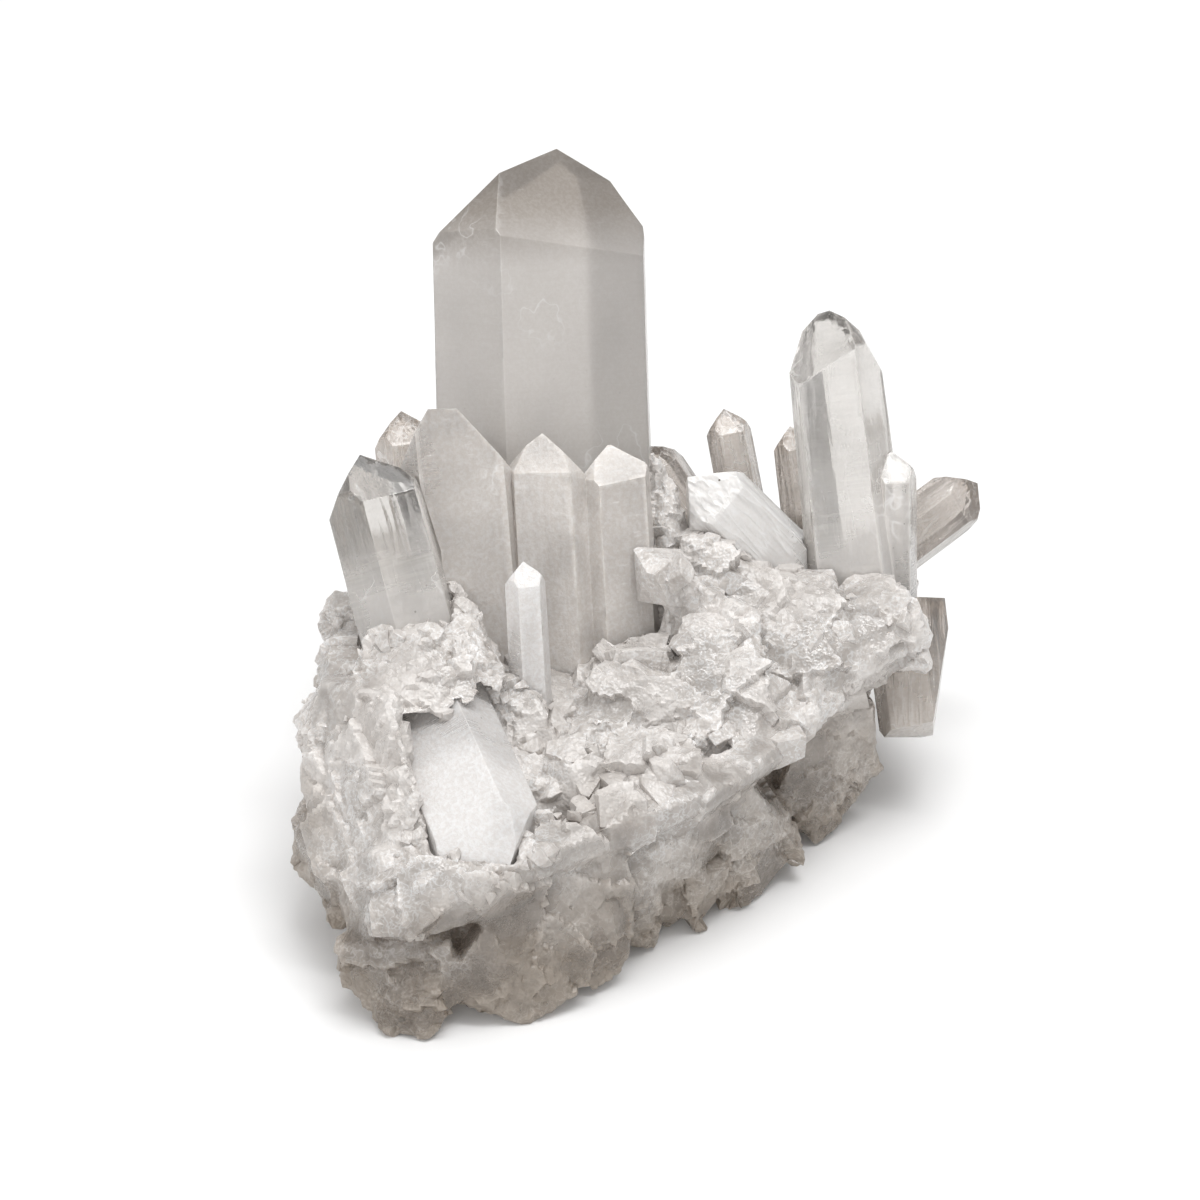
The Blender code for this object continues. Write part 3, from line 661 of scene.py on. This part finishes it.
def matrix_material():
    """Milky broken quartz: white and sugary above the ledge, and below it a darker grey-brown painted
    shade.

    It gives the eye a bright, half clear white with frosted patches, painted highlights along fine crinkles
    and brown dirt in the cracks under the ledge.
    """
    given = settings()
    made, tree, output = new_material("milky_quartz")
    coordinates = add_node(tree, "ShaderNodeTexCoord").outputs["Object"]
    place = add_node(tree, "ShaderNodeSeparateXYZ", {0: coordinates})
    # soft clouds 11 mm across, folds 4 mm apart and crinkles 1.4 mm apart
    clouds = grainy(tree, coordinates, 90, 1)
    folds = grainy(tree, coordinates, 260, 2, 0.65)
    crinkles = grainy(tree, coordinates, 700, 2, 0.8)
    patchy = spread(tree, clouds, 0.4, 0.6, 0.2, 0.9)
    # painted highlights: thin lines along the folds and crinkles are coloured white, for glints off the
    # broken edges
    lines = calculate(tree, "MAXIMUM", crease(tree, folds, 0.012), crease(tree, crinkles, 0.03))
    lines = times(tree, lines, patchy)
    shade = times(tree, spread(tree, crinkles, 0.5, 0.64, 0, 0.45), patchy)
    frost = add_node(tree, "ShaderNodeAttribute", attribute_name="frost").outputs["Fac"]
    frost = calculate(tree, "ADD", frost, spread(tree, folds, 0.35, 0.65, -0.2, 0.2), clamp=True)
    dirt = add_node(tree, "ShaderNodeAttribute", attribute_name="dirt").outputs["Fac"]
    dirt = times(tree, dirt, spread(tree, folds, 0.4, 0.6, 0.2, 1))
    level = calculate(tree, "ADD", place.outputs["Z"], spread(tree, clouds, 0.3, 0.7, -0.004, 0.004))
    # painted shade: from 22 mm up the matrix keeps its white colours, and down towards 6 mm every colour
    # turns to a darker grey-brown
    above = spread(tree, level, 0.006, 0.022, 0, 1)
    pale = blend(tree, above, "BEB3A7", "F4F1EE")
    tint = blend(tree, above, given.underside_shade_tint, given.matrix_tint)
    tint = blend(tree, times(tree, frost, 0.5), tint, pale)
    tint = blend(tree, shade, tint, blend(tree, above, "8F8478", "BDB5AD"))
    # the painted highlight lines go on here, white above the ledge and a paler grey-brown below it
    tint = blend(tree, lines, tint, blend(tree, above, "D9D0C6", "FFFFFF"))
    surface = {
        "Base Color": blend(tree, dirt, tint, "7D6A57"),
        "Roughness": spread(tree, frost, 0, 1, 0.15, 0.4),
        "Transmission Weight": calculate(tree, "ADD", spread(tree, frost, 0, 1, 0.55, 0.2),
                                         spread(tree, above, 0, 1, 0.2, 0)),
        "Normal": roughen(tree, crinkles, 0.001, spread(tree, frost, 0, 1, 0.2, 0.6)),
    }
    finish_material(tree, output, surface, "9C9187", 12)
    return made


class QUARTZ_OT_matrix(bpy.types.Operator):
    """Build the milky slab and the chips on it"""

    bl_idname = "quartz.matrix"
    bl_label = "Milky matrix"

    def execute(self, context):
        dice = random.Random(SEED + 1)
        material = matrix_material()
        bm = fine_matrix()
        if not bm.faces:
            raise RuntimeError("the slab is empty")
        crumble(bm)
        for face in bm.faces:
            face.smooth = True
        slab = new_piece("matrix_looks", bm, ["matrix"], "matrix_quartz", material)
        slab.data.set_sharp_from_angle(angle=math.radians(28))

        # the spots are picked on the solid's own triangles, whose order is always the same
        coarse = bmesh.new()
        coarse.from_mesh(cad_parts["matrix"].data)
        bits = [broken_bit(dice) for _ in range(8)]
        count = settings().chips
        bm = bmesh.new()
        for number, weigh, sizes, sink in ((settings().blocks, in_the_jumble, (1.6, 2.6), 0.4),
                                           (settings().blocks, near_points(), (1.1, 1.7), 0.2),
                                           (count, on_top, (0.8, 1.3), 0.3)):
            spots = spots_on(coarse, dice, number, weigh)
            add_bits(bm, spots, bits, dice, sizes, 0.3, (0.6, 1.1), sink)
        spots = spots_on(coarse, dice, count // 2, on_walls)
        add_bits(bm, spots, bits, dice, (0.7, 1.4), 0, (0.4, 0.9), 0.3)
        frost = bm.verts.layers.float.new("frost")
        for vertex in bm.verts:
            vertex.co = keep_in_box(vertex.co)
            vertex[frost] = 0.7
        for shape in bits + [coarse]:
            shape.free()
        new_piece("matrix_chips", bm, ["matrix"], "matrix_quartz", material)
        return {"FINISHED"}


def floor_material():
    """Matt white studio paper: an even pale ground with a hardly seen mottle."""
    made, tree, output = new_material("studio_paper")
    coordinates = add_node(tree, "ShaderNodeTexCoord").outputs["Object"]
    mottle = add_node(tree, "ShaderNodeTexNoise", {"Vector": coordinates, "Scale": 6, "Detail": 2})
    tint = blend(tree, mottle.outputs["Fac"], settings().floor_tint, "F0F0F0")
    shader = add_node(tree, "ShaderNodeBsdfPrincipled", {"Base Color": tint, "Roughness": 0.9})
    tree.links.new(shader.outputs[0], output.inputs["Surface"])
    return made


# The camera looks down by 30 degrees at a point in the cluster, from 450 mm away.
VIEW_MIDDLE = Vector((-5.5, 13.0, 28.9)) * MM
VIEW_DISTANCE = 0.45
VIEW_ELEVATION = math.radians(30)
VIEW_WIDTH = 0.156
SENSOR_WIDTH = 36
# The lights: their name, place and size in metres, and power in watts. The strip is for the tips to mirror.
LIGHTS = (
    ("top_softbox", (0.05, 0.12, 0.8), (0.7, 0.7), 3.2),
    ("front_softbox", (-0.15, -0.9, 0.4), (0.8, 0.6), 2.2),
    ("left_softbox", (-0.7, -0.35, 0.5), (0.5, 0.5), 1.0),
    ("glint_strip", (0.16, -0.04, 0.8), (0.15, 0.55), 2.2),
)
LIGHTS_AIM = Vector((0, 0, 0.03))


def add_light(name, place, size, power):
    """A soft box that shines on the cluster."""
    lamp = bpy.data.lights.new(name, "AREA")
    lamp.shape = "RECTANGLE"
    lamp.size, lamp.size_y = size
    lamp.energy = power
    made = bpy.data.objects.new(name, lamp)
    made.location = place
    made.rotation_euler = (LIGHTS_AIM - Vector(place)).to_track_quat("-Z", "Y").to_euler()
    bpy.context.scene.collection.objects.link(made)


class QUARTZ_OT_stage(bpy.types.Operator):
    """Set the floor, the lights and the camera"""

    bl_idname = "quartz.stage"
    bl_label = "Studio stage"

    def execute(self, context):
        scene = context.scene
        bm = bmesh.new()
        bmesh.ops.create_grid(bm, x_segments=8, y_segments=8, size=3)
        mesh = bpy.data.meshes.new("studio_floor")
        bm.to_mesh(mesh)
        bm.free()
        mesh.materials.append(floor_material())
        floor = bpy.data.objects.new("studio_floor", mesh)
        scene.collection.objects.link(floor)

        for light in LIGHTS:
            add_light(*light)

        world = bpy.data.worlds.new("studio")
        world.use_nodes = True
        sky = world.node_tree.nodes["Background"]
        sky.inputs["Color"].default_value = (0.52, 0.52, 0.52, 1)
        sky.inputs["Strength"].default_value = 1
        scene.world = world

        lens = bpy.data.cameras.new("camera")
        lens.sensor_width = SENSOR_WIDTH
        lens.lens = SENSOR_WIDTH * VIEW_DISTANCE / VIEW_WIDTH
        lens.clip_start = 0.01
        camera = bpy.data.objects.new("camera", lens)
        outward = Vector((0, -math.cos(VIEW_ELEVATION), math.sin(VIEW_ELEVATION)))
        camera.location = VIEW_MIDDLE + outward * VIEW_DISTANCE
        camera.rotation_euler = (-outward).to_track_quat("-Z", "Y").to_euler()
        scene.collection.objects.link(camera)
        scene.camera = camera
        scene.view_settings.view_transform = "Standard"
        return {"FINISHED"}


class QUARTZ_PT_panel(bpy.types.Panel):
    """The settings, with a button for each operator"""

    bl_label = "Quartz crystal cluster"
    bl_idname = "QUARTZ_PT_panel"
    bl_space_type = "VIEW_3D"
    bl_region_type = "UI"
    bl_category = "Quartz"

    def draw(self, context):
        for name in QuartzSettings.__annotations__:
            self.layout.prop(context.scene.quartz, name)
        for operator in OPERATORS:
            self.layout.operator(operator.bl_idname)


OPERATORS = (QUARTZ_OT_points, QUARTZ_OT_matrix, QUARTZ_OT_stage)


def register():
    for made in (QuartzSettings, *OPERATORS, QUARTZ_PT_panel):
        bpy.utils.register_class(made)
    bpy.types.Scene.quartz = bpy.props.PointerProperty(type=QuartzSettings)


def unregister():
    del bpy.types.Scene.quartz
    for made in (QUARTZ_PT_panel, *reversed(OPERATORS), QuartzSettings):
        bpy.utils.unregister_class(made)


def main():
    register()
    bpy.ops.quartz.points()
    bpy.ops.quartz.matrix()
    bpy.ops.quartz.stage()


if __name__ == "__main__":
    main()
